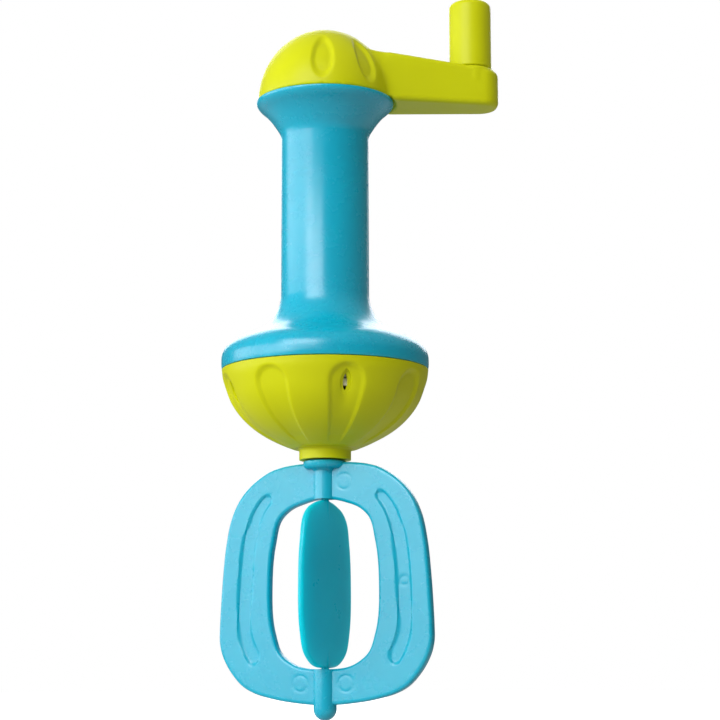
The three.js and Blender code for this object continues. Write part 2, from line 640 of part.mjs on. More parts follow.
const handle = new THREE.Group();
object.add(handle);
piece(handle, 'grip_barrel', barrel(), plastic(AQUA, 0.38));
piece(handle, 'gear_bowl', bowl(), plastic(LIME, 0.42));
piece(handle, 'upper_bush', bush(topWebTop, 1), plastic(NYLON, 0.5));
piece(handle, 'lower_bush', bush(lowerWebBottom + WEB, -1), plastic(NYLON, 0.5));
piece(handle, 'neck_bush', neckBush(), plastic(NYLON, 0.5));
piece(handle, 'gear_plate', gearPlate(), plastic(NYLON, 0.5));

const crank = new THREE.Group();
object.add(crank);
piece(crank, 'crank_arm', crankArm(), plastic(LIME, 0.42));
piece(crank, 'crank_shaft', crankShaft(), plastic(NYLON, 0.45));
piece(crank, 'crank_pin', crankPin(), steel());
piece(crank, 'ring_gear', ringGear(), plastic(NYLON, 0.5));
piece(crank, 'ring_gear_screw', ringGearScrew(), steel());
piece(crank, 'shaft_washer', shaftWasher(), plastic(NYLON, 0.5));
const knobAxis = new THREE.Group();
knobAxis.position.x = CRANK_REACH;
crank.add(knobAxis);
piece(knobAxis, 'knob_post', knobPost(), steel());
piece(knobAxis, 'crank_knob', knob(), plastic(LIME, 0.42));

for (let i = 0; i < IDLER_COUNT; i += 1) {
  const angle = IDLER_PHASE + (360 / IDLER_COUNT) * i;
  const station = new THREE.Group();
  station.position.set(idlerCircle * Math.cos(degrees(angle)), idlerCircle * Math.sin(degrees(angle)), 0);
  object.add(station);
  const halfTooth = 180 / IDLER_TEETH; // a space faces the sun and another faces the ring
  const teethAngle = degrees(angle + 180 + halfTooth);
  const idler = spurGear(IDLER_TEETH, IDLER_PIN_RADIUS + GAP, teethAngle);
  piece(station, `idler_gear_${i + 1}`, idler, plastic(NYLON, 0.5));
  piece(station, `idler_pin_${i + 1}`, idlerPin(), steel());
  const screw = piece(handle, `plate_screw_${i + 1}`, plateScrew(), steel());
  const screwAngle = degrees(angle + 180 / IDLER_COUNT);
  screw.position.set(SCREW_CIRCLE * Math.cos(screwAngle), SCREW_CIRCLE * Math.sin(screwAngle), 0);
}

const sun = spurGear(SUN_TEETH, WHISK_SHAFT_RADIUS + GAP, degrees(IDLER_PHASE));
piece(object, 'sun_pinion', sun, plastic(NYLON, 0.5));
piece(object, 'whisk_shaft', whiskShaft(), steel());
piece(object, 'whisk_clip', whiskClip(), steel());
const whisk = new THREE.Group();
whisk.rotation.z = degrees(WHISK_TURN);
object.add(whisk);
piece(whisk, 'whisk_ring', whiskFrame(), plastic(AQUA, 0.38));
piece(whisk, 'whisk_paddle', whiskPaddle(), plastic(AQUA, 0.38));

export default object;
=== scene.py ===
import json
import math
import bpy
import numpy as np
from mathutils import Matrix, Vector
from mathutils.geometry import interpolate_bezier


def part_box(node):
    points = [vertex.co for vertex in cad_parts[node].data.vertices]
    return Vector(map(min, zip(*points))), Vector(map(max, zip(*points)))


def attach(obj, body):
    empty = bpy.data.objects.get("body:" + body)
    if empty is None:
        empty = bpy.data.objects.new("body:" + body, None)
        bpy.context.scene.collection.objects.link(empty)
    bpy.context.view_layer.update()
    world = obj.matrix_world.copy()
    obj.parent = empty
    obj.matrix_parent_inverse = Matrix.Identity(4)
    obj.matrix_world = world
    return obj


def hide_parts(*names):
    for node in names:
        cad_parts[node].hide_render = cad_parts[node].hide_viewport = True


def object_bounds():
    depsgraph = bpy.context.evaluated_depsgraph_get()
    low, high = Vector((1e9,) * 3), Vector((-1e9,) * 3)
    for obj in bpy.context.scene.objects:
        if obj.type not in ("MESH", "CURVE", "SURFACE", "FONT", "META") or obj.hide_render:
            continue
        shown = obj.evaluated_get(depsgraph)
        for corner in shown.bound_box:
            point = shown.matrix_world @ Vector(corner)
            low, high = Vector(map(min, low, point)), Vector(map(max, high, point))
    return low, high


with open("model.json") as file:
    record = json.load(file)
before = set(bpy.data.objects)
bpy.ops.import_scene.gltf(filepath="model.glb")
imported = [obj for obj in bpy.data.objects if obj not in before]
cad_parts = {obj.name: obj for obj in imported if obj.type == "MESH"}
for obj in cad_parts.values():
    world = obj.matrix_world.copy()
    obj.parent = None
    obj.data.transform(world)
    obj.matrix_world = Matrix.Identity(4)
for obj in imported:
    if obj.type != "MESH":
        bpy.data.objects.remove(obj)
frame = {"nodes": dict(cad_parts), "record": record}
cad_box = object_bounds()

# ------------------------------------------------------------------ grip barrel
# The grip is one hollow shell of aqua polypropylene, moulded round a core. It flares at the top
# into a lip that the crank turns on, and opens at the foot into a bell over the gears. Two webs
# inside it hold the crank shaft's bushes.
MM = 0.001
barrel_low, barrel_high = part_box("grip_barrel")
GRIP = next(m for m in frame["record"]["mounts"] if m["name"] == "hand_grip")["dims"]
GRIP_RADIUS = GRIP["r_mm"] * MM
GRIP_END = GRIP["length_mm"] * MM / 2
BELL_RADIUS = barrel_high.x
WALL = 2.2 * MM
LIP_RADIUS = 26.8 * MM
WEB = 3 * MM
BUSH_BORE = 7.3 * MM
MOUTH_TAPER = 4 * MM         # how much the mouth narrows from the lip to the upper web
UPPER_WEB_PLACE = 0.57       # share of the flare's height, from the grip up
LOWER_WEB_PLACE = 0.2        # share of the bell's height, from the grip down
BARREL_EDGE = 0.7 * MM
AQUA_SPREAD = (0.4, 1, 1)
# Shares of the height and of the radius gained: the bell's from its rim up to the grip, and the
# flare's from the grip up to the lip.
BELL_CURVE = ((1, 0.988), (0.97, 0.996), (0.903, 1), (0.83, 0.995), (0.755, 0.965), (0.69, 0.9),
              (0.633, 0.805), (0.561, 0.61), (0.49, 0.415), (0.428, 0.285), (0.338, 0.172),
              (0.24, 0.092), (0.12, 0.03), (0, 0))
FLARE_CURVE = ((0, 0), (0.14, 0.06), (0.27, 0.17), (0.39, 0.29), (0.52, 0.43), (0.7, 0.67),
               (0.84, 0.9), (0.92, 0.985), (0.96, 1))


def start_fresh():
    """Leaves edit mode with nothing selected."""
    if bpy.context.mode != "OBJECT":
        bpy.ops.object.mode_set(mode="OBJECT")
    bpy.ops.object.select_all(action="DESELECT")


def work_on(piece):
    """Selects one piece alone and makes it the active one."""
    start_fresh()
    piece.select_set(True)
    bpy.context.view_layer.objects.active = piece


def smooth_line(points, pieces):
    """Points on a smooth curve through a few (radius, height) points."""
    points = [Vector(p) for p in points]
    steps = [b - a for a, b in zip(points, points[1:])]
    slopes = [steps[0].normalized()]
    for before, after in zip(steps, steps[1:]):
        near, far = before.length, after.length
        slopes.append((before * far / near + after * near / far) / (near + far))
    slopes.append(steps[-1].normalized())
    line = []
    for i, step in enumerate(steps):
        reach = step.length / 3
        handles = points[i] + slopes[i] * reach, points[i + 1] - slopes[i + 1] * reach
        line += interpolate_bezier(points[i], *handles, points[i + 1], pieces + 1)[:-1]
    return [(p.x, p.y) for p in line] + [tuple(points[-1])]


def beside(line, distance):
    """The same line moved to its left by a distance."""
    moved = []
    for i, point in enumerate(line):
        before, after = line[max(i - 1, 0)], line[min(i + 1, len(line) - 1)]
        along = Vector((after[0] - before[0], after[1] - before[1])).normalized()
        moved.append((point[0] - along.y * distance, point[1] + along.x * distance))
    return moved


def turned(name, line, steps=128):
    """A closed line of (radius, height) points, drawn point after point and spun about Z."""
    start_fresh()
    bpy.ops.mesh.primitive_plane_add(size=MM)
    piece = bpy.context.object
    piece.name = name
    bpy.ops.object.mode_set(mode="EDIT")
    bpy.ops.mesh.select_mode(type="VERT")
    bpy.ops.mesh.merge(type="CENTER")
    bpy.ops.transform.translate(value=(line[0][0], 0, line[0][1]))
    for before, point in zip(line, line[1:]):
        step = (point[0] - before[0], 0, point[1] - before[1])
        bpy.ops.mesh.extrude_region_move(TRANSFORM_OT_translate={"value": step})
    bpy.ops.mesh.select_all(action="SELECT")
    bpy.ops.mesh.spin(steps=steps, angle=2 * math.pi, center=(0, 0, 0), axis=(0, 0, 1))
    bpy.ops.mesh.select_all(action="SELECT")
    bpy.ops.mesh.remove_doubles(threshold=0.01 * MM)
    bpy.ops.mesh.delete_loose()
    bpy.ops.mesh.select_all(action="SELECT")
    bpy.ops.mesh.normals_make_consistent(inside=False)
    bpy.ops.object.mode_set(mode="OBJECT")
    return piece


def apply(piece, kind, **settings):
    """Puts a modifier on a piece and applies it."""
    work_on(piece)
    modifier = piece.modifiers.new(kind.title(), kind)
    for name, value in settings.items():
        setattr(modifier, name, value)
    bpy.ops.object.modifier_apply(modifier=modifier.name)


def soften(piece, width, angle=40, segments=3):
    """Rounds a piece's sharp edges, as a mould's are."""
    apply(piece, "BEVEL", width=width, segments=segments, limit_method="ANGLE",
          angle_limit=math.radians(angle), use_clamp_overlap=True)


def smooth_shading(piece, angle=35):
    """Shades a piece smoothly, apart from edges sharper than an angle."""
    work_on(piece)
    bpy.ops.object.shade_smooth_by_angle(angle=math.radians(angle))


bell_height = -GRIP_END - barrel_low.z
flare_height = barrel_high.z - GRIP_END
bell_line = smooth_line([(GRIP_RADIUS + out * (BELL_RADIUS - GRIP_RADIUS),
                          -GRIP_END - down * bell_height) for down, out in BELL_CURVE], 4)
flare_line = smooth_line([(GRIP_RADIUS + out * (LIP_RADIUS - GRIP_RADIUS),
                           GRIP_END + up * flare_height) for up, out in FLARE_CURVE], 4)
upper_web = GRIP_END + UPPER_WEB_PLACE * flare_height
lower_web = -GRIP_END - LOWER_WEB_PLACE * bell_height
grip_inside = GRIP_RADIUS - WALL
mouth = LIP_RADIUS - 2 * WALL
bell_inside = [p for p in beside(bell_line, WALL) if p[1] < lower_web - WEB]
barrel_line = [
    *bell_line, *flare_line, (LIP_RADIUS, barrel_high.z), (mouth, barrel_high.z),
    (mouth - MOUTH_TAPER, upper_web), (BUSH_BORE, upper_web), (BUSH_BORE, upper_web - WEB),
    (grip_inside, upper_web - WEB), (grip_inside, lower_web + WEB), (BUSH_BORE, lower_web + WEB),
    (BUSH_BORE, lower_web), (grip_inside, lower_web), *reversed(bell_inside),
    (BELL_RADIUS - WALL, barrel_low.z), bell_line[0],
]
barrel = turned("barrel_shell", barrel_line, steps=160)
soften(barrel, BARREL_EDGE)
smooth_shading(barrel)


def linear(hex_colour):
    """An sRGB hex colour as linear RGBA."""
    shares = [int(hex_colour[i:i + 2], 16) / 255 for i in (1, 3, 5)]
    return [s / 12.92 if s <= 0.04045 else ((s + 0.055) / 1.055) ** 2.4 for s in shares] + [1]


def add_node(tree, kind, inputs=(), **settings):
    """Adds a node, sets its properties, and sets or links its sockets."""
    made = tree.nodes.new("ShaderNode" + kind)
    for name, value in settings.items():
        setattr(made, name, value)
    for name, value in dict(inputs).items():
        if isinstance(value, bpy.types.NodeSocket):
            tree.links.new(value, made.inputs[name])
        else:
            made.inputs[name].default_value = value
    return made


def new_finish(name):
    """An empty material, its shader and its Object coordinates."""
    material = bpy.data.materials.new(name)
    material.use_nodes = True
    tree = material.node_tree
    tree.nodes.clear()
    shader = add_node(tree, "BsdfPrincipled")
    add_node(tree, "OutputMaterial", {"Surface": shader.outputs["BSDF"]})
    place = add_node(tree, "TexCoord").outputs["Object"]
    return material, tree, shader, place


FLOW_SIZE = 28 * MM          # streaks where the melt ran into the mould
HANDLED_SIZE = 9 * MM        # patches that hands have made a little smoother
GRAIN_SIZE = 0.45 * MM       # the mould's grain, really about 0.1 mm and drawn coarser so that it shows


def moulded_polypropylene(name, colours, roughness, gloss_level, spread, weight=0.45, depth=2.4):
    """Polypropylene from a satin steel mould: an even colour with a faint flow, a soft gloss, and some
    light let in. colours are the two ends of the flow's tint, spread is how far red, green and blue
    go inside, weight is how much light goes in, and depth is how deep, in mm."""
    material, tree, shader, place = new_finish(name)
    flow = add_node(tree, "TexNoise", {"Vector": place, "Scale": 1 / FLOW_SIZE, "Detail": 2,
                                       "Roughness": 0.4})
    tint = add_node(tree, "ValToRGB", {"Fac": flow.outputs["Fac"]})
    for stop, share, colour in zip(tint.color_ramp.elements, (0.3, 0.7), colours):
        stop.position = share
        stop.color = linear(colour)
    handled = add_node(tree, "TexNoise", {"Vector": place, "Scale": 1 / HANDLED_SIZE, "Detail": 4,
                                          "Roughness": 0.6})
    gloss = add_node(tree, "MapRange", {"Value": handled.outputs["Fac"], "From Min": 0.3, "From Max": 0.7,
                                        "To Min": roughness - 0.03, "To Max": roughness + 0.03})
    grain = add_node(tree, "TexNoise", {"Vector": place, "Scale": 1 / GRAIN_SIZE, "Detail": 2,
                                        "Roughness": 0.5})
    bump = add_node(tree, "Bump", {"Height": grain.outputs["Fac"], "Strength": 0.05, "Distance": 0.01 * MM})
    tree.links.new(tint.outputs["Color"], shader.inputs["Base Color"])
    tree.links.new(gloss.outputs["Result"], shader.inputs["Roughness"])
    tree.links.new(bump.outputs["Normal"], shader.inputs["Normal"])
    shader.inputs["IOR"].default_value = 1.49
    shader.inputs["Specular IOR Level"].default_value = gloss_level
    shader.inputs["Subsurface Weight"].default_value = weight
    shader.inputs["Subsurface Radius"].default_value = spread
    shader.inputs["Subsurface Scale"].default_value = depth * MM
    return material


def paint(piece, material):
    """Gives every material slot of a piece one finish."""
    if not piece.material_slots:
        piece.data.materials.append(material)
    for slot in piece.material_slots:
        slot.material = material


aqua = moulded_polypropylene("aqua_polypropylene", ("#00AFC6", "#00B4CB"), roughness=0.27,
                             gloss_level=0.68, spread=AQUA_SPREAD)
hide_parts("grip_barrel")
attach(barrel, "handle")
paint(barrel, aqua)

# ------------------------------------------------------------------ bowl
# The bowl under the bell is lime polypropylene, moulded with eight soft flutes that fade towards
# the collar. Every other flute has a pointed drain hole, and the collar holds the neck bush.
bowl_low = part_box("gear_bowl")[0]
JOINT_GAP = 0.3 * MM
BOWL_DEPTH = 30.6 * MM
COLLAR_RADIUS = 9.9 * MM
COLLAR_BORE = 6 * MM
SPIGOT_HEIGHT = 3 * MM
SPIGOT_DROP = 2 * MM         # how far the spigot goes on down inside the wall
COLLAR_FILLET = ((0.8, 0.25), (0.15, -0.35), (0, -1))  # mm out from the collar, up from the bowl's foot
FLUTE_COUNT = 8
FLUTE_PHASE = 8              # degrees from the arm to the middle of the first flute
FLUTE_TOP = 2.2 * MM         # below the rim
FLUTE_DEPTH = 1.35 * MM
FLUTE_SIDE_DEPTH = 0.62      # share of that depth at the flute's sides
FLUTE_HALF = (11.6, 9.5)     # degrees, at the arched top and at the foot
FLUTE_SOFT = 0.2             # share of the half-width that its soft edge takes
FLUTE_ARCH = 0.27            # share of its length that its arched top takes
FLUTE_END = 0.97             # share of its length where it has faded out
FLUTE_FADE = 0.1             # share of its length over which it fades
DRAIN_DROP = 9.1 * MM        # the drain hole's middle below the rim
DRAIN_HALF_WIDTH = 2.15 * MM
DRAIN_HALF_LENGTH = 4.5 * MM
DRAIN_POINT = 0.42           # share of its width that the hole loses towards its pointed top
DRAIN_FLARE = (1, 1.35, 1.18)  # how much wider and taller the hole is at its outer end
RECESS_FLOOR = 34.4 * MM     # from the axis, at the drain's middle
SLOT_START = 20 * MM         # from the axis, well inside the wall
SLOT_SHARES = (0.36, 0.6)    # of the recess's width and length, for the slot right through the wall
PUNCH_LENGTH = 30 * MM
DISH_DEPTH = 1.1 * MM        # a wide shallow dish that each drain hole stands in
DISH_DROP = 2.5 * MM         # below the drain hole's middle
DISH_HALF_SIZE = (3.2 * MM, 6.5 * MM)
WALL_LEAN = 0.36             # how far the wall goes outwards for each length upwards
# Shares of the depth and of the bell's radius, from the rim down.
BOWL_CURVE = ((0, 0.995), (0.1, 0.985), (0.24, 0.952), (0.39, 0.908), (0.535, 0.838), (0.684, 0.73),
              (0.8, 0.61), (0.88, 0.5), (0.945, 0.39), (0.985, 0.31))


def eased(share):
    """A share from 0 to 1 that starts and stops gently."""
    share = np.clip(share, 0, 1)
    return share * share * (3 - 2 * share)


def pressed(across, end, soft):
    """How far a flute has been pressed in, from 0 to 1. across and end are shares of its half-width
    and of its rounded end, and soft is the share that its soft edge takes."""
    return eased((1 - np.hypot(across, end)) / soft)


def reshape(piece, rule):
    """Moves each point of a piece to where the rule puts it."""
    mesh = piece.data
    places = np.empty(len(mesh.vertices) * 3, np.float32)
    mesh.vertices.foreach_get("co", places)
    moved = rule(places.reshape(-1, 3).astype(float))
    mesh.vertices.foreach_set("co", moved.astype(np.float32).ravel())
    mesh.update()


def around(places):
    """Radius and angle in degrees about Z."""
    return np.hypot(places[:, 0], places[:, 1]), np.degrees(np.arctan2(places[:, 1], places[:, 0]))


bowl_rim = barrel_low.z - JOINT_GAP
bowl_foot = bowl_rim + JOINT_GAP - BOWL_DEPTH
spigot_foot = bowl_rim - SPIGOT_DROP
bowl_line = smooth_line([(BELL_RADIUS * out, bowl_rim - down * BOWL_DEPTH) for down, out in BOWL_CURVE], 6)
bowl_inside = [p for p in beside(bowl_line, -WALL) if p[0] > COLLAR_RADIUS + MM and p[1] < spigot_foot]
spigot = BELL_RADIUS - WALL - JOINT_GAP
bowl = turned("gear_bowl_shell", [
    *bowl_line, *[(COLLAR_RADIUS + out * MM, bowl_foot + up * MM) for out, up in COLLAR_FILLET],
    (COLLAR_RADIUS, bowl_low.z), (COLLAR_BORE, bowl_low.z),
    (COLLAR_BORE, bowl_foot + WALL), *reversed(bowl_inside),
    (spigot - WALL, spigot_foot), (spigot - WALL, bowl_rim + SPIGOT_HEIGHT),
    (spigot, bowl_rim + SPIGOT_HEIGHT), (spigot, bowl_rim), bowl_line[0],
], steps=320)


def press_flutes(places):
    """Presses the flutes into the bowl, and a dish round each drain hole."""
    pitch = 360 / FLUTE_COUNT
    radius, angle = around(places)
    turn = (angle - FLUTE_PHASE + pitch / 2) % pitch - pitch / 2
    length = BOWL_DEPTH - FLUTE_TOP
    down = (bowl_rim - FLUTE_TOP - places[:, 2]) / length
    across = turn / np.interp(down, (0, 1), FLUTE_HALF)
    end = np.clip(1 - down / FLUTE_ARCH, 0, None)
    fade = np.clip((FLUTE_END - down) / FLUTE_FADE, 0, 1)
    scoop = FLUTE_SIDE_DEPTH + (1 - FLUTE_SIDE_DEPTH) * np.clip(1 - across ** 2, 0, 1)
    depth = FLUTE_DEPTH * pressed(across, end, FLUTE_SOFT) * scoop * fade
    drained = np.floor((angle - FLUTE_PHASE + pitch / 2) / pitch) % 2 == 0
    sideways = np.radians(turn) * radius / DISH_HALF_SIZE[0]
    beyond = (bowl_rim - DRAIN_DROP - DISH_DROP - places[:, 2]) / DISH_HALF_SIZE[1]
    depth += np.where(drained, DISH_DEPTH * np.exp(-sideways ** 2 - beyond ** 2), 0) * (down > 0)
    places[:, :2] *= (1 - depth / np.maximum(radius, MM))[:, None]
    return places


reshape(bowl, press_flutes)


def joined(pieces):
    """Several tools made one object."""
    work_on(pieces[0])
    for piece in pieces:
        piece.select_set(True)
    bpy.ops.object.join()
    return pieces[0]


def combine(piece, tool, operation):
    """Cuts a piece with a tool, or adds the tool to it, and removes the tool."""
    apply(piece, "BOOLEAN", operation=operation, object=tool, solver="EXACT")
    bpy.data.objects.remove(tool)


def drain_tool(angle, start, width, length):
    """A pointed oval punch for one drain hole. It points outwards at an angle, starts at a distance
    from the axis, leans as the wall does and widens outwards. width and length are shares of the
    recess's own."""
    start_fresh()
    bpy.ops.mesh.primitive_circle_add(vertices=32, radius=1, fill_type="NGON",
                                      location=(0, 0, 0), rotation=(0, math.pi / 2, 0))
    tool = bpy.context.object
    bpy.ops.object.transform_apply(location=True, rotation=True, scale=True)

    def pointed(places):
        up = places[:, 2]
        narrow = np.where(up > 0, 1 - DRAIN_POINT * up ** 2, 1)
        places[:, 1] *= narrow * DRAIN_HALF_WIDTH * width
        places[:, 2] *= DRAIN_HALF_LENGTH * length
        places[:, 0] = start + WALL_LEAN * places[:, 2]
        return places

    reshape(tool, pointed)
    work_on(tool)
    bpy.ops.object.mode_set(mode="EDIT")
    bpy.ops.mesh.select_all(action="SELECT")
    bpy.ops.mesh.extrude_region_move(TRANSFORM_OT_translate={"value": (PUNCH_LENGTH, 0, 0)})
    bpy.ops.transform.resize(value=DRAIN_FLARE, center_override=(0, 0, 0))
    bpy.ops.mesh.select_all(action="SELECT")
    bpy.ops.mesh.normals_make_consistent(inside=False)
    bpy.ops.transform.translate(value=(0, 0, bowl_rim - DRAIN_DROP))
    bpy.ops.transform.rotate(value=-math.radians(angle), orient_axis="Z", center_override=(0, 0, 0))
    bpy.ops.object.mode_set(mode="OBJECT")
    return tool


drain_angles = [FLUTE_PHASE + 360 / FLUTE_COUNT * i for i in range(0, FLUTE_COUNT, 2)]
for start, shares in ((RECESS_FLOOR, (1, 1)), (SLOT_START, SLOT_SHARES)):
    combine(bowl, joined([drain_tool(angle, start, *shares) for angle in drain_angles]), "DIFFERENCE")
smooth_shading(bowl, 38)
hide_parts("gear_bowl")
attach(bowl, "handle")
lime = moulded_polypropylene("lime_polypropylene", ("#D0D201", "#D4D702"), roughness=0.42,
                             gloss_level=0.25, spread=(1, 1, 0.2))
paint(bowl, lime)

# ------------------------------------------------------------------ crank
# Dome and arm are one lime moulding: a hollow fluted dome over the lip, and a closed arm that
# tapers to the knob's end, with a soft blend where it leaves the dome.
arm_low, arm_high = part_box("crank_arm")
knob_low, knob_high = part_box("crank_knob")
lip_top = barrel_high.z
DOME_FOOT = lip_top + JOINT_GAP
DOME_RADIUS = -arm_low.x
DOME_HEIGHT = 28.4 * MM
reach = (knob_low.x + knob_high.x) / 2
ARM_FOOT = lip_top - 1.1 * MM
ARM_START = 8 * MM           # from the axis, inside the dome
ARM_ROOT = DOME_RADIUS       # from the axis, where the arm's root sizes are taken
ARM_HALF_WIDTHS = (11.9 * MM, 8.3 * MM)   # at the root, and where the end's corners begin
ARM_THICKNESSES = (19.2 * MM, 15.7 * MM)  # at the root, and on the knob's axis
ARM_CORNER = 6.5 * MM
ARM_EDGE = 2 * MM
SEAT_RADIUS = 8.85 * MM      # the flat round seat that the knob turns on
SEAT_DEPTH = 6 * MM
POST_BORE = 3.3 * MM
LIP_ROOM = 0.8 * MM          # between the barrel's lip and the arm
BOSS_RADIUS = 7.9 * MM       # the boss under the dome that holds the shaft's head
OVERLAP = 2 * MM             # how far joined shapes run into each other
PAST_FACE = 5 * MM           # how far a tool starts outside what it cuts
SKIN_GRID = 0.5 * MM         # the grid that dome and arm are made one skin on
BLEND = 5 * MM               # reach of the soft blend at the arm's root
DOME_FLUTES = (-97, -53, 53, 97)  # degrees from the arm
DOME_FLUTE_HALF = 11.5       # degrees
DOME_FLUTE_DEPTH = 1.25 * MM
DOME_FLUTE_SOFT = 0.42       # share of the half-width that its soft edge takes
# Degrees up the dome: where a flute's foot starts and is full, and where its top is full, and the
# degrees that its top takes to fade.
DOME_FLUTE_RISE = (4, 24, 26, 26)
OUTER_SKIN = 0.9             # share of the dome's size beyond which a point is on its outside
seat_top = ARM_FOOT + ARM_THICKNESSES[1]


def sloped(x, values, ends):
    """A size that changes evenly from one place along the arm to another, and on past them."""
    return values[0] + (values[1] - values[0]) * (x - ends[0]) / (ends[1] - ends[0])


def half_width(x):
    """Half the arm's width at a distance from the axis."""
    return sloped(x, ARM_HALF_WIDTHS, (ARM_ROOT, arm_high.x - ARM_CORNER))


def arm_top(x):
    """The height of the arm's top at a distance from the axis."""
    return ARM_FOOT + sloped(x, ARM_THICKNESSES, (ARM_ROOT, reach))


def cylinder(radius, foot, top, x=0.0, vertices=96):
    """A plain round bar or tool standing on the arm's line."""
    start_fresh()
    bpy.ops.mesh.primitive_cylinder_add(vertices=vertices, radius=radius, depth=top - foot,
                                        location=(x, 0, (foot + top) / 2))
    bpy.ops.object.transform_apply(location=True, rotation=True, scale=True)
    return bpy.context.object


def pick(piece, kind, test):
    """Edit mode with only the vertices, edges or faces selected whose middle passes the test."""
    work_on(piece)
    bpy.ops.object.mode_set(mode="EDIT")
    bpy.ops.mesh.select_mode(type=kind)
    bpy.ops.mesh.select_all(action="DESELECT")
    bpy.ops.object.mode_set(mode="OBJECT")
    mesh = piece.data
    if kind == "VERT":
        for corner in mesh.vertices:
            corner.select = test(corner.co)
    elif kind == "EDGE":
        for edge in mesh.edges:
            a, b = (mesh.vertices[i].co for i in edge.vertices)
            edge.select = test((a + b) / 2, b - a)
    else:
        for face in mesh.polygons:
            face.select = test(face.center, face.normal)
    bpy.ops.object.mode_set(mode="EDIT")


# A block a metre wide and tall on the arm's foot line. Its two ends are then drawn in to size.
start_fresh()
bpy.ops.mesh.primitive_cube_add(size=1, location=((ARM_START + arm_high.x) / 2, 0, ARM_FOOT + 0.5),
                                scale=(arm_high.x - ARM_START, 1, 1))
bpy.ops.object.transform_apply(location=True, rotation=True, scale=True)
arm = bpy.context.object
for x in (ARM_START, arm_high.x):
    pick(arm, "VERT", lambda at: abs(at.x - x) < MM)
    bpy.ops.transform.resize(value=(1, 2 * half_width(x), arm_top(x) - ARM_FOOT),
                             center_override=(0, 0, ARM_FOOT))
pick(arm, "EDGE", lambda at, along: at.x > reach and abs(along.z) > MM and abs(along.y) < MM)
bpy.ops.mesh.bevel(offset=ARM_CORNER, offset_type="OFFSET", segments=8, affect="EDGES")
bpy.ops.object.mode_set(mode="OBJECT")
soften(arm, ARM_EDGE, angle=50, segments=5)

# The dome's outline stops just short of the axis, where its last point closes it.
quarter = [(DOME_RADIUS * math.cos(a), DOME_FOOT + DOME_HEIGHT * math.sin(a))
           for a in np.radians(np.linspace(0, 89.9, 40))]
crank = turned("crank_body", [(0, DOME_FOOT), *quarter, (0, DOME_FOOT + DOME_HEIGHT)], steps=128)
combine(crank, arm, "UNION")
combine(crank, cylinder(SEAT_RADIUS, seat_top - SEAT_DEPTH, seat_top, reach), "UNION")
combine(crank, cylinder(SEAT_RADIUS, seat_top, seat_top + 2 * PAST_FACE, reach), "DIFFERENCE")
combine(crank, cylinder(LIP_RADIUS + LIP_ROOM, ARM_FOOT - PAST_FACE, DOME_FOOT), "DIFFERENCE")
apply(crank, "REMESH", mode="VOXEL", voxel_size=SKIN_GRID, use_smooth_shade=True)


def near_the_root(at):
    """True near the corner between the dome and the arm, where the moulding has its soft blend."""
    outside_dome = (math.sqrt((at.x ** 2 + at.y ** 2) / DOME_RADIUS ** 2
                              + ((at.z - DOME_FOOT) / DOME_HEIGHT) ** 2) - 1) * DOME_RADIUS
    aside = max(abs(at.y) - half_width(at.x), 0)
    above = max(at.z - arm_top(at.x), 0)
    return (at.x > ARM_START and outside_dome < BLEND and math.hypot(aside, above) < BLEND
            and at.z > DOME_FOOT + MM)


pick(crank, "VERT", near_the_root)
bpy.ops.mesh.vertices_smooth(factor=0.5, repeat=45)
bpy.ops.mesh.select_all(action="SELECT")
bpy.ops.mesh.vertices_smooth(factor=0.5, repeat=3)
bpy.ops.object.mode_set(mode="OBJECT")


def press_dome(places):
    """Presses the dome's flutes in towards the middle of its foot."""
    foot_start, foot_full, top_full, top_fade = DOME_FLUTE_RISE
    radius, angle = around(places)
    up = (places[:, 2] - DOME_FOOT) / DOME_HEIGHT
    lift = np.degrees(np.arcsin(np.clip(up, 0, 1)))
    outside = np.hypot(radius / DOME_RADIUS, np.clip(up, 0, None)) > OUTER_SKIN
    depth = np.zeros(len(places))
    for middle in DOME_FLUTES:
        turn = (angle - middle + 180) % 360 - 180
        across = turn / DOME_FLUTE_HALF
        end = np.where(lift > top_full, (lift - top_full) / top_fade,
                       np.clip((foot_full - lift) / (foot_full - foot_start), 0, None))
        depth += DOME_FLUTE_DEPTH * pressed(across, end, DOME_FLUTE_SOFT)
    depth = np.where(outside, depth, 0)
    inwards = places - np.array((0, 0, DOME_FOOT))
    length = np.maximum(np.linalg.norm(inwards, axis=1), MM)
    return places - inwards * (depth / length)[:, None]


reshape(crank, press_dome)
inner_radius, inner_height = DOME_RADIUS - WALL, DOME_HEIGHT - WALL
boss_bearing = math.degrees(math.acos(BOSS_RADIUS / inner_radius))
hollow_line = [(inner_radius * math.cos(a), DOME_FOOT + inner_height * math.sin(a))
               for a in np.radians(np.linspace(0, boss_bearing, 16))]
boss_line = [(BOSS_RADIUS, DOME_FOOT - OVERLAP), (inner_radius, DOME_FOOT - OVERLAP),
             (inner_radius, DOME_FOOT)]
shaft_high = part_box("crank_shaft")[1]
shaft_room = cylinder(shaft_high.x + JOINT_GAP, arm_low.z - PAST_FACE, shaft_high.z + JOINT_GAP)
combine(crank, turned("hollow_tool", [*hollow_line, *boss_line], steps=96), "DIFFERENCE")
combine(crank, cylinder(BOSS_RADIUS, arm_low.z, DOME_FOOT + OVERLAP), "UNION")
combine(crank, shaft_room, "DIFFERENCE")
post_low, post_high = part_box("knob_post")
combine(crank, cylinder(POST_BORE, post_low.z - JOINT_GAP, seat_top + MM, reach, 48), "DIFFERENCE")
smooth_shading(crank, 40)
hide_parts("crank_arm")
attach(crank, "crank")
paint(crank, lime)

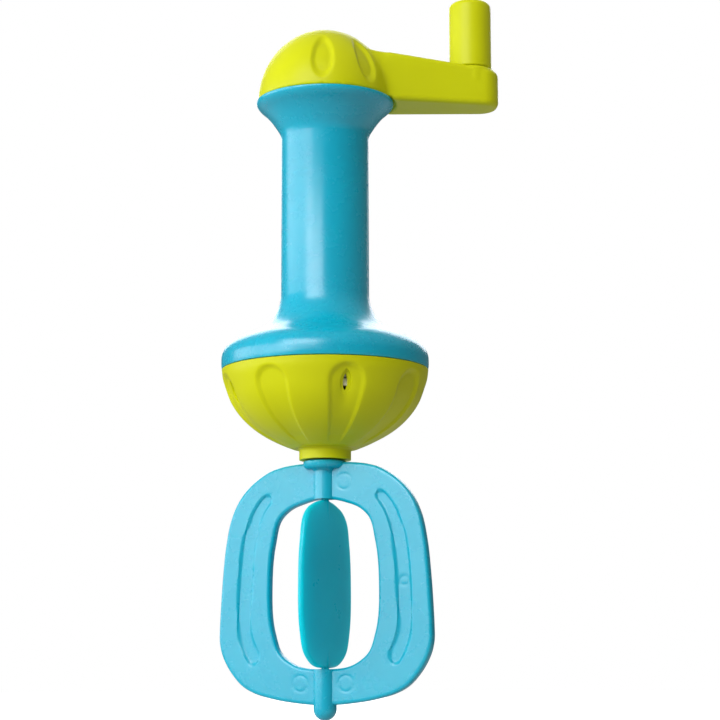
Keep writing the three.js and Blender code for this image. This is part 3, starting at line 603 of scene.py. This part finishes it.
# ------------------------------------------------------------------ knob
# A plain lime cylinder with a rounded end, free to turn on a steel post riveted into the arm.
# It is moulded hollow round the post and snaps over the post's head.
KNOB_RADIUS = knob_high.x - reach
KNOB_ROUNDING = 2.3 * MM
EDGE_BREAK = 0.4 * MM
HEAD_BORE = 4.7 * MM         # the room for the post's head
HEAD_ROOM = 3.7 * MM         # how deep that room is
HEAD_END_GAP = 0.5 * MM
room_top = post_high.z + HEAD_END_GAP
knob = turned("crank_knob_grip", [
    (POST_BORE, knob_low.z), (KNOB_RADIUS - EDGE_BREAK, knob_low.z), (KNOB_RADIUS, knob_low.z + EDGE_BREAK),
    (KNOB_RADIUS, knob_high.z - 3 * KNOB_ROUNDING),
    *[(KNOB_RADIUS - KNOB_ROUNDING * (1 - math.cos(a)), knob_high.z - KNOB_ROUNDING * (1 - math.sin(a)))
      for a in np.radians(np.linspace(0, 90, 9))],
    (0, knob_high.z), (0, room_top), (HEAD_BORE, room_top), (HEAD_BORE, room_top - HEAD_ROOM),
    (POST_BORE, room_top - HEAD_ROOM - EDGE_BREAK), (POST_BORE, knob_low.z),
], steps=96)
reshape(knob, lambda places: places + np.array((reach, 0, 0)))
smooth_shading(knob)
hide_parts("crank_knob")
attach(knob, "knob")
paint(knob, lime)

# ------------------------------------------------------------------ whisk ring
# The whisk's ring is one flat aqua moulding with a hub, a round rod down its middle line and a
# ball tip. Each limb has a shallow pocket, which keeps the wall even, and round marks are left
# where the ejector pins pushed it out of the mould.
ring_low, ring_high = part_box("whisk_ring")
WHISK_TURN = -29             # degrees from the arm to the ring's plane, at rest
HUB_STEP = 0.5 * MM          # how far the hub stands above the ring
RING_TOP = ring_high.z - HUB_STEP
RING_HEIGHT = 91.2 * MM
RING_HALF_WIDTH = 43.9 * MM
RING_THICKNESS = 4.1 * MM
WINDOW_TOP = RING_TOP - 13.9 * MM
WINDOW_HEIGHT = 63.9 * MM
WINDOW_HALF_WIDTH = 22.6 * MM
ROD_RADIUS = 4.35 * MM
HUB_RADIUS = 8.3 * MM
HUB_THICKNESS = 3 * MM
HUB_UNDERSIDE = ((0, 1.3), (-0.5, 0.5), (-1.6, 0))  # mm out from the hub's side, up from its foot
ROD_FILLET = 0.8 * MM        # between the rod and the hub
RING_EDGE = 1.1 * MM
RING_POINTS = 360
FACE_CUTS = 34               # across each flat face, so that the pockets are smooth
POCKET_BEARINGS = (33, 137)  # where each pocket starts and ends, from straight up
POCKET_WIDE_BEARING = 62     # where it has reached its full width
POCKET_HALF_WIDTHS = (2.2 * MM, 3.2 * MM)
POCKET_DEPTH = 0.8 * MM
POCKET_EDGE = 0.7 * MM
MARK_DEPTH = 0.18 * MM
MARK_LINE = 0.32 * MM
# Ejector pin marks on the front face, in mm: place across and up from the hub, and radius.
MARKS = ((8.8, -7.6, 3), (-9.4, -83.2, 3), (9.4, -83.2, 3), (32.9, -45.5, 1.7))
TENON = 1.8 * MM             # the bores for the paddle's tenons
TENON_BORE_REACH = 3 * MM    # how far those bores come out into the window
# Half of each outline: shares of the half-width and of the height, downwards.
RING_CURVE = ((0, 0), (0.15, 0.001), (0.28, 0.004), (0.41, 0.013), (0.51, 0.027), (0.6, 0.05), (0.72, 0.093),
              (0.817, 0.148), (0.893, 0.225), (0.943, 0.334), (0.973, 0.466), (0.992, 0.6), (1, 0.69),
              (1, 0.735), (0.975, 0.79), (0.93, 0.835), (0.86, 0.882), (0.77, 0.924), (0.66, 0.952),
              (0.53, 0.97), (0.4, 0.983), (0.26, 0.992), (0.13, 0.998), (0, 1))
WINDOW_CURVE = ((0, 0), (0.4, 0.025), (0.66, 0.062), (0.81, 0.11), (0.935, 0.255), (1, 0.5),
                (0.93, 0.795), (0.81, 0.905), (0.56, 0.972), (0, 1))
ring_middle = WINDOW_TOP - WINDOW_HEIGHT / 2


def ray_radius(curve, half_width, top, height):
    """A function that gives an outline's distance from the window's middle in each direction."""
    half = [(out * half_width, top - down * height) for out, down in curve]
    line = np.array(smooth_line([(-half[1][0], half[1][1]), *half, (-half[-2][0], half[-2][1])], 12))
    line = line[12:-12]
    bearing = np.degrees(np.arctan2(line[:, 0], line[:, 1] - ring_middle))
    radius = np.hypot(line[:, 0], line[:, 1] - ring_middle)
    return lambda degrees: np.interp(np.abs((degrees + 180) % 360 - 180), bearing, radius)


outer_radius = ray_radius(RING_CURVE, RING_HALF_WIDTH, RING_TOP, RING_HEIGHT)
window_radius = ray_radius(WINDOW_CURVE, WINDOW_HALF_WIDTH, WINDOW_TOP, WINDOW_HEIGHT)


def loop(radius_at, count, y=0.0):
    """A circle of points drawn out to an outline in the whisk's own XZ plane."""
    start_fresh()
    bpy.ops.mesh.primitive_circle_add(vertices=count, radius=1, rotation=(math.pi / 2, 0, 0))
    bpy.ops.object.transform_apply(location=True, rotation=True, scale=True)
    made = bpy.context.object

    def drawn(places):
        bearing = np.degrees(np.arctan2(places[:, 0], places[:, 2]))
        radius = radius_at(bearing)
        return np.stack([radius * np.sin(np.radians(bearing)), np.full(len(places), y),
                         ring_middle + radius * np.cos(np.radians(bearing))], axis=1)

    reshape(made, drawn)
    return made


ring = joined([loop(outer_radius, RING_POINTS), loop(window_radius, RING_POINTS)])
ring.name = "whisk_ring_moulding"
bpy.ops.object.mode_set(mode="EDIT")
bpy.ops.mesh.select_all(action="SELECT")
bpy.ops.mesh.bridge_edge_loops()
bpy.ops.mesh.select_all(action="SELECT")
bpy.ops.mesh.normals_make_consistent(inside=False)
bpy.ops.object.mode_set(mode="OBJECT")
apply(ring, "SOLIDIFY", thickness=RING_THICKNESS, offset=0)
soften(ring, RING_EDGE, angle=60, segments=4)
pick(ring, "EDGE", lambda at, along: along.length > 6 * MM)   # those that cross the flat faces
bpy.ops.mesh.subdivide(number_cuts=FACE_CUTS)
bpy.ops.object.mode_set(mode="OBJECT")


def press_ring(places):
    """Presses the pockets into both flat faces, and the pin marks into the front one."""
    across, height = places[:, 0], places[:, 2] - ring_middle
    bearing = np.degrees(np.arctan2(np.abs(across), height))
    radius = np.hypot(across, height)
    middle = (outer_radius(bearing) + window_radius(bearing)) / 2
    start, stop = POCKET_BEARINGS
    half = np.interp(bearing, (start, POCKET_WIDE_BEARING), POCKET_HALF_WIDTHS)
    beyond = np.radians(np.maximum(start - bearing, bearing - stop)) * radius + half
    from_edge = half - np.hypot(radius - middle, np.clip(beyond, 0, None))
    depth = POCKET_DEPTH * eased(from_edge / POCKET_EDGE)
    for x, up, size in MARKS:
        away = np.hypot(across - x * MM, places[:, 2] - RING_TOP - up * MM)
        ring_mark = np.exp(-((away - size * MM) / MARK_LINE) ** 2)
        depth += np.where(places[:, 1] < 0, MARK_DEPTH * ring_mark, 0)
    flat = np.abs(places[:, 1]) > RING_THICKNESS / 2 - 0.02 * MM
    places[:, 1] -= np.where(flat, np.sign(places[:, 1]) * depth, 0)
    return places


reshape(ring, press_ring)
hub_top = ring_high.z
hub_foot = hub_top - HUB_THICKNESS
tip_line = [(ROD_RADIUS * math.sin(a), ring_low.z + ROD_RADIUS * (1 - math.cos(a)))
            for a in np.radians(np.linspace(0, 90, 10))]
window_foot = WINDOW_TOP - WINDOW_HEIGHT
lower_rod = turned("lower_rod", [*tip_line, (ROD_RADIUS, window_foot), (0, window_foot)], 48)
upper_rod = turned("upper_rod", [
    (0, hub_top), (HUB_RADIUS - EDGE_BREAK, hub_top), (HUB_RADIUS, hub_top - EDGE_BREAK),
    *[(HUB_RADIUS + out * MM, hub_foot + up * MM) for out, up in HUB_UNDERSIDE],
    (ROD_RADIUS + ROD_FILLET, hub_foot), (ROD_RADIUS, hub_foot - ROD_FILLET),
    (ROD_RADIUS, WINDOW_TOP), (0, WINDOW_TOP),
], 48)
combine(ring, lower_rod, "UNION")
combine(ring, upper_rod, "UNION")
spindle_low, spindle_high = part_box("whisk_shaft")
paddle_low, paddle_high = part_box("whisk_paddle")
combine(ring, joined([
    cylinder(spindle_high.x + JOINT_GAP, spindle_low.z - JOINT_GAP, hub_top + MM, vertices=32),
    cylinder(TENON, WINDOW_TOP - TENON_BORE_REACH, paddle_high.z + JOINT_GAP, vertices=24),
    cylinder(TENON, paddle_low.z - JOINT_GAP, window_foot + TENON_BORE_REACH, vertices=24),
]), "DIFFERENCE")


def turn_whisk(places):
    """Turns a piece made in the arm's plane to where the whisk stands at rest."""
    turn = math.radians(WHISK_TURN)
    x, y = places[:, 0].copy(), places[:, 1].copy()
    places[:, 0] = x * math.cos(turn) - y * math.sin(turn)
    places[:, 1] = x * math.sin(turn) + y * math.cos(turn)
    return places


reshape(ring, turn_whisk)
smooth_shading(ring, 40)
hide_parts("whisk_ring")
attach(ring, "whisk")
paint(ring, aqua)

# ------------------------------------------------------------------ whisk paddle
# A thin aqua paddle fills the ring's window crosswise, so that the whisk beats in both planes.
# It has a rounded rim, a slight crown, and a tenon at each end that clicks into the ring's rod.
PADDLE_THICKNESS = 2.3 * MM
PADDLE_GAP = 0.35 * MM
PADDLE_EDGE = 0.95 * MM
# Each step of the crown, from the rim in: the share of the size kept, and the rise in mm.
CROWN = ((0.96, 0.08), (0.92, 0.17), (0.85, 0.25), (0.75, 0.2), (0.6, 0.1))
TENON_LENGTH = 2.4 * MM
TENON_ROOT = 5 * MM          # how far each tenon runs into the plate
paddle = loop(lambda bearing: window_radius(bearing) - PADDLE_GAP, 160)
paddle.name = "whisk_paddle_moulding"
work_on(paddle)
bpy.ops.object.mode_set(mode="EDIT")
bpy.ops.mesh.select_all(action="SELECT")
bpy.ops.mesh.edge_face_add()
bpy.ops.object.mode_set(mode="OBJECT")
apply(paddle, "SOLIDIFY", thickness=PADDLE_THICKNESS, offset=0)
soften(paddle, PADDLE_EDGE, angle=60, segments=5)
flat_face = PADDLE_THICKNESS / 2 - 0.01 * MM
for side in (-1, 1):
    pick(paddle, "FACE", lambda at, normal: normal.y * side > 0.99 and abs(at.y) > flat_face)
    for size, rise in CROWN:
        bpy.ops.mesh.extrude_region_move(TRANSFORM_OT_translate={"value": (0, side * rise * MM, 0)})
        bpy.ops.transform.resize(value=(size, 1, size), center_override=(0, 0, ring_middle))
    bpy.ops.object.mode_set(mode="OBJECT")
for foot, top in ((window_foot - TENON_LENGTH, window_foot + TENON_ROOT),
                  (WINDOW_TOP - TENON_ROOT, WINDOW_TOP + TENON_LENGTH)):
    combine(paddle, cylinder(TENON - JOINT_GAP, foot, top, vertices=32), "UNION")
reshape(paddle, turn_whisk)
reshape(paddle, lambda places: np.stack([-places[:, 1], places[:, 0], places[:, 2]], axis=1))
smooth_shading(paddle, 40)
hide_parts("whisk_paddle")
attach(paddle, "whisk")
# The paddle's aqua is painted lighter than the barrel's, as painted light on a face that the lamps leave in
# shade; light is also let in deeper, as through thin plastic.
paint(paddle, moulded_polypropylene("thin_aqua_polypropylene_painted_lighter", ("#00BACA", "#00C0D0"), roughness=0.3,
                                    gloss_level=0.3, spread=AQUA_SPREAD, weight=1, depth=9))

# ------------------------------------------------------------------ gears and fixings
# Inside are the gears, bushes, gear plate and crank shaft, moulded in uncoloured nylon, and the
# screws, pins, clip, knob post and whisk shaft of plated steel. Each keeps its own shape, and is
# given the finish that the record names for it.
CLOUD_SIZE = 6 * MM
NYLON_GRAIN = 0.3 * MM       # really finer, and drawn as coarse as it needs to show
LATHE_WAVE = 2.5 * MM        # puts the lathe's rings 0.8 mm apart, coarser than real ones, to show
PLATE_PATCH = 3 * MM
NYLON_COLOURS = ("#D9D5C3", "#EFECE0")
ZINC_COLOURS = ("#AEB4BB", "#C9CCD0")


def natural_nylon():
    """Unpigmented nylon 6, moulded for gears and bushes: creamy, slightly waxy, matt."""
    material, tree, shader, place = new_finish("moulded_natural_nylon")
    cloud = add_node(tree, "TexNoise", {"Vector": place, "Scale": 1 / CLOUD_SIZE, "Detail": 3})
    tint = add_node(tree, "ValToRGB", {"Fac": cloud.outputs["Fac"]})
    for stop, colour in zip(tint.color_ramp.elements, NYLON_COLOURS):
        stop.color = linear(colour)
    grain = add_node(tree, "TexNoise", {"Vector": place, "Scale": 1 / NYLON_GRAIN, "Detail": 2})
    bump = add_node(tree, "Bump", {"Height": grain.outputs["Fac"], "Strength": 0.15, "Distance": 0.02 * MM})
    tree.links.new(tint.outputs["Color"], shader.inputs["Base Color"])
    tree.links.new(bump.outputs["Normal"], shader.inputs["Normal"])
    shader.inputs["Roughness"].default_value = 0.48
    shader.inputs["IOR"].default_value = 1.53
    return material


def zinc_plated_steel():
    """Turned steel, bright zinc plated: fine rings from the lathe under a thin bluish plate."""
    material, tree, shader, place = new_finish("zinc_plated_turned_steel")
    rings = add_node(tree, "TexWave", {"Vector": place, "Scale": 1 / LATHE_WAVE, "Distortion": 0.6,
                                       "Detail": 2}, wave_type="BANDS", bands_direction="Z")
    cloud = add_node(tree, "TexNoise", {"Vector": place, "Scale": 1 / PLATE_PATCH, "Detail": 3})
    gloss = add_node(tree, "MapRange", {"Value": cloud.outputs["Fac"], "To Min": 0.22, "To Max": 0.42})
    tint = add_node(tree, "ValToRGB", {"Fac": cloud.outputs["Fac"]})
    for stop, colour in zip(tint.color_ramp.elements, ZINC_COLOURS):
        stop.color = linear(colour)
    bump = add_node(tree, "Bump", {"Height": rings.outputs["Fac"], "Strength": 0.2, "Distance": 0.01 * MM})
    tree.links.new(tint.outputs["Color"], shader.inputs["Base Color"])
    tree.links.new(gloss.outputs["Result"], shader.inputs["Roughness"])
    tree.links.new(bump.outputs["Normal"], shader.inputs["Normal"])
    shader.inputs["Metallic"].default_value = 1
    return material


FINISHES = {
    "aqua_moulding": aqua,
    "lime_moulding": lime,
    "natural_nylon": natural_nylon(),
    "plated_steel": zinc_plated_steel(),
}
for subpart in frame["record"]["subparts"]:
    paint(frame["nodes"][subpart["node"]], FINISHES[subpart["material_slot"]])

# ------------------------------------------------------------------ studio
# A plain white floor just under the whisk's tip, a long soft box on the left, one above the camera
# on its left, one behind, and a pale sky. The camera stands low and looks slightly up.
FLOOR_GAP = 0.6 * MM
FLOOR_SIZE = 40              # metres, so that its edge isn't seen
FIBRE_SIZE = 2.5 * MM
LIGHT_COLOUR = (0.95, 0.98, 1.06)
# Shares of the way from straight down to straight up, and how bright the sky is there.
SKY_LEVELS = ((0, 0.55), (0.36, 0.55), (0.47, 0.14), (0.6, 0.14), (0.8, 0.4), (1, 0.4))
start_fresh()
bpy.ops.mesh.primitive_plane_add(size=FLOOR_SIZE, location=(0, 0, ring_low.z - FLOOR_GAP))
floor = bpy.context.object
floor.name = "floor"
floor_finish, floor_tree, floor_shader, floor_place = new_finish("white_paper")
fibre = add_node(floor_tree, "TexNoise", {"Vector": floor_place, "Scale": 1 / FIBRE_SIZE, "Detail": 2})
floor_bump = add_node(floor_tree, "Bump", {"Height": fibre.outputs["Fac"], "Strength": 0.05,
                                           "Distance": 0.1 * MM})
floor_tree.links.new(floor_bump.outputs["Normal"], floor_shader.inputs["Normal"])
floor_shader.inputs["Base Color"].default_value = linear("#FAFAFA")
floor_shader.inputs["Roughness"].default_value = 0.9
floor_shader.inputs["Specular IOR Level"].default_value = 0.1
floor_shader.inputs["Emission Color"].default_value = (1, 1, 1, 1)
floor_shader.inputs["Emission Strength"].default_value = 0.75
floor.visible_diffuse = floor.visible_glossy = False
paint(floor, floor_finish)

object_middle = Vector((0, 0, (cad_box[0].z + cad_box[1].z) / 2))


def softbox(name, azimuth, elevation, distance, width, height, radiance):
    """A soft rectangular light aimed at the object. Azimuth 0 is on the camera's side (-Y), angles
    are in degrees and sizes in metres."""
    a, e = math.radians(azimuth), math.radians(elevation)
    towards = Vector((math.sin(a) * math.cos(e), -math.cos(a) * math.cos(e), math.sin(e)))
    light = bpy.data.lights.new(name, "AREA")
    light.shape = "RECTANGLE"
    light.size, light.size_y = width, height
    light.energy = radiance * math.pi * width * height
    light.color = LIGHT_COLOUR
    lamp = bpy.data.objects.new(name, light)
    bpy.context.scene.collection.objects.link(lamp)
    lamp.location = object_middle + towards * distance
    lamp.rotation_euler = (-towards).to_track_quat("-Z", "Y").to_euler()


softbox("key_softbox", -80, 8, 3.0, 5.2, 1.3, 3.2)
softbox("front_softbox", -33, 26, 2.4, 1.8, 1.2, 6.0)
softbox("back_softbox", 172, 30, 2.6, 2.4, 1.4, 2.8)

world = bpy.data.worlds.new("pale_sky")
bpy.context.scene.world = world
world.use_nodes = True
sky = world.node_tree
sky.nodes.clear()
direction = add_node(sky, "SeparateXYZ", {"Vector": add_node(sky, "TexCoord").outputs["Generated"]})
height = add_node(sky, "MapRange", {"Value": direction.outputs["Z"], "From Min": -1})
dim_sky = add_node(sky, "ValToRGB", {"Fac": height.outputs["Result"]})
for share, level in SKY_LEVELS[1:-1]:
    dim_sky.color_ramp.elements.new(share)
for stop, (share, level) in zip(dim_sky.color_ramp.elements, SKY_LEVELS):
    stop.color = (level, level, level, 1)
ambient = add_node(sky, "Background", {"Color": dim_sky.outputs["Color"], "Strength": 1})
seen = add_node(sky, "Background", {"Color": (1, 1, 1, 1), "Strength": 1})
path = add_node(sky, "LightPath")
shown = add_node(sky, "MixShader", {"Fac": path.outputs["Is Camera Ray"]})
sky.links.new(ambient.outputs["Background"], shown.inputs[1])
sky.links.new(seen.outputs["Background"], shown.inputs[2])
add_node(sky, "OutputWorld", {"Surface": shown.outputs["Shader"]})
bpy.context.scene.view_settings.view_transform = "Standard"

CAMERA_DISTANCE = 0.78       # metres
CAMERA_AZIMUTH = math.radians(-4.4)
CAMERA_ABOVE_TIP = 11.1 * MM
CAMERA_TILT = math.radians(9.14)
CAMERA_ROLL = math.radians(0.15)
CAMERA_PAN = math.radians(-0.96)
camera_data = bpy.data.cameras.new("camera")
camera_data.sensor_width = 36
camera_data.lens = 102.75
camera_data.clip_start, camera_data.clip_end = 0.01, 100
camera = bpy.data.objects.new("camera", camera_data)
bpy.context.scene.collection.objects.link(camera)
camera.location = (CAMERA_DISTANCE * math.sin(CAMERA_AZIMUTH), -CAMERA_DISTANCE * math.cos(CAMERA_AZIMUTH),
                   ring_low.z + CAMERA_ABOVE_TIP)
camera.rotation_euler = (math.pi / 2 + CAMERA_TILT, CAMERA_ROLL, CAMERA_AZIMUTH + CAMERA_PAN)
bpy.context.scene.camera = camera
